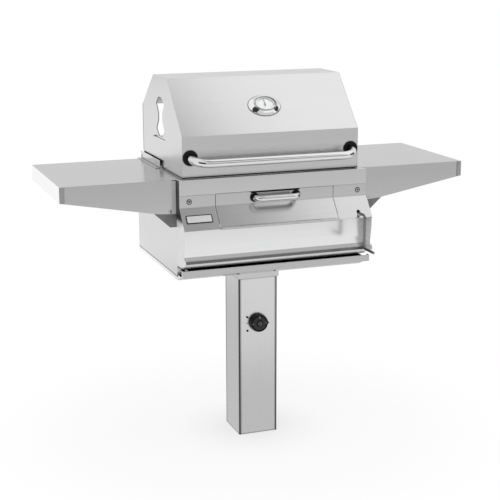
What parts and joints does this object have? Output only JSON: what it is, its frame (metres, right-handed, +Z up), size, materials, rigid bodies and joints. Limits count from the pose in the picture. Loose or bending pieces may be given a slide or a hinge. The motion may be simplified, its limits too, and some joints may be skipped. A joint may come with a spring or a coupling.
{
  "type": "pedestal charcoal grill",
  "caption": "Stainless charcoal grill on a square in-ground post, with a hinged vented hood, charcoal door, ash tray, fire-height crank, timer knob and side shelves.",
  "frame": {"origin": "centre of the post's cut foot, on the ground plane", "axes": "+Z up along the post; -Y towards the cook at the front; +X to the cook's right, along the shelves"},
  "size_m": [1.516, 0.71, 1.3547],
  "materials": {
    "brushed_sheet": "satin",
    "polished_steel": "polished",
    "plain_steel": "satin",
    "heat_worn_steel": "matte",
    "fasteners": "satin",
    "black_plastic": "matte",
    "dial_white": "satin",
    "clear_glass": "gloss"
  },
  "bodies": {
    "stand": {"post": "brushed_sheet", "post_collar": "brushed_sheet", "post_bolts": "fasteners", "timer_valve": "plain_steel", "base_pan": "brushed_sheet", "left_side_panel": "brushed_sheet", "right_side_panel": "brushed_sheet", "back_panel": "brushed_sheet", "lower_front_panel": "brushed_sheet", "left_cheek": "brushed_sheet", "right_cheek": "brushed_sheet", "front_panel": "brushed_sheet", "top_trim": "polished_steel", "panel_screws": "fasteners", "side_bolts": "fasteners", "door_hinge_pin": "polished_steel", "tray_rails": "plain_steel", "firebox_liner": "brushed_sheet", "grid_ledges": "plain_steel", "bar_guides": "plain_steel", "left_cooking_grid": "heat_worn_steel", "right_cooking_grid": "heat_worn_steel", "hinge_brackets": "plain_steel", "left_shelf_top": "brushed_sheet", "right_shelf_top": "brushed_sheet", "left_shelf_end": "brushed_sheet", "right_shelf_end": "brushed_sheet", "left_shelf_brackets": "brushed_sheet", "right_shelf_brackets": "brushed_sheet", "shelf_bolts": "fasteners"},
    "hood": {"hood_shell": "brushed_sheet", "hood_left_side": "brushed_sheet", "hood_right_side": "brushed_sheet", "hood_hinge_studs": "polished_steel", "hood_handle": "polished_steel", "handle_bezels": "polished_steel", "thermometer_bezel": "polished_steel", "thermometer_dial": "dial_white", "thermometer_glass": "clear_glass", "thermometer_stem": "polished_steel"},
    "left_damper": {"left_vent_damper": "brushed_sheet"},
    "right_damper": {"right_vent_damper": "brushed_sheet"},
    "needle": {"thermometer_needle": "black_plastic"},
    "door": {"access_door": "brushed_sheet", "door_handle": "polished_steel", "door_handle_bezels": "black_plastic"},
    "tray": {"ash_tray": "brushed_sheet"},
    "pan": {"charcoal_pan": "heat_worn_steel"},
    "crank": {"crank_rod": "plain_steel"},
    "left_shaft": {"left_lift_shaft": "plain_steel"},
    "tie_bar": {"sync_bar": "plain_steel"},
    "knob": {"timer_knob": "black_plastic"}
  },
  "joints": [
    {"name": "hood_hinge", "type": "hinge", "parent": "stand", "child": "hood", "pos_m": [0, 0.258, 1.078], "axis": [-1, 0, 0], "range_deg": [0, 90]},
    {"name": "left_damper_slide", "type": "slide", "parent": "hood", "child": "left_damper", "axis": [0, -1, 0], "range_m": [0, 0.108]},
    {"name": "right_damper_slide", "type": "slide", "parent": "hood", "child": "right_damper", "axis": [0, -1, 0], "range_m": [0, 0.108]},
    {"name": "needle_turn", "type": "hinge", "parent": "hood", "child": "needle", "pos_m": [0, -0.1465, 1.26185], "axis": [0, -0.7295, 0.684], "range_deg": [-135, 135]},
    {"name": "door_hinge", "type": "hinge", "parent": "stand", "child": "door", "pos_m": [0, -0.30301, 0.86149], "axis": [1, 0, 0], "range_deg": [0, 110]},
    {"name": "tray_slide", "type": "slide", "parent": "stand", "child": "tray", "axis": [0, -1, 0], "range_m": [0, 0.4]},
    {"name": "pan_lift", "type": "slide", "parent": "stand", "child": "pan", "axis": [0, 0, 1], "range_m": [0, 0.05162]},
    {"name": "crank_turn", "type": "hinge", "parent": "stand", "child": "crank", "pos_m": [0.304, 0, 0.876], "axis": [0, 1, 0], "range_deg": [0, 70]},
    {"name": "left_shaft_turn", "type": "hinge", "parent": "stand", "child": "left_shaft", "pos_m": [-0.304, 0, 0.876], "axis": [0, 1, 0], "range_deg": [-70, 0]},
    {"name": "tie_bar_slide", "type": "slide", "parent": "stand", "child": "tie_bar", "axis": [1, 0, 0], "range_m": [0, 0.01377]},
    {"name": "knob_turn", "type": "hinge", "parent": "stand", "child": "knob", "pos_m": [0, -0.09, 0.439], "axis": [0, 1, 0], "range_deg": [0, 270]}
  ],
  "couplings": [
    {"joint": "crank_turn", "follows": "pan_lift", "rad_per_m": 23.667},
    {"joint": "left_shaft_turn", "follows": "pan_lift", "rad_per_m": -23.667},
    {"joint": "tie_bar_slide", "follows": "pan_lift", "ratio": 0.26667}
  ]
}
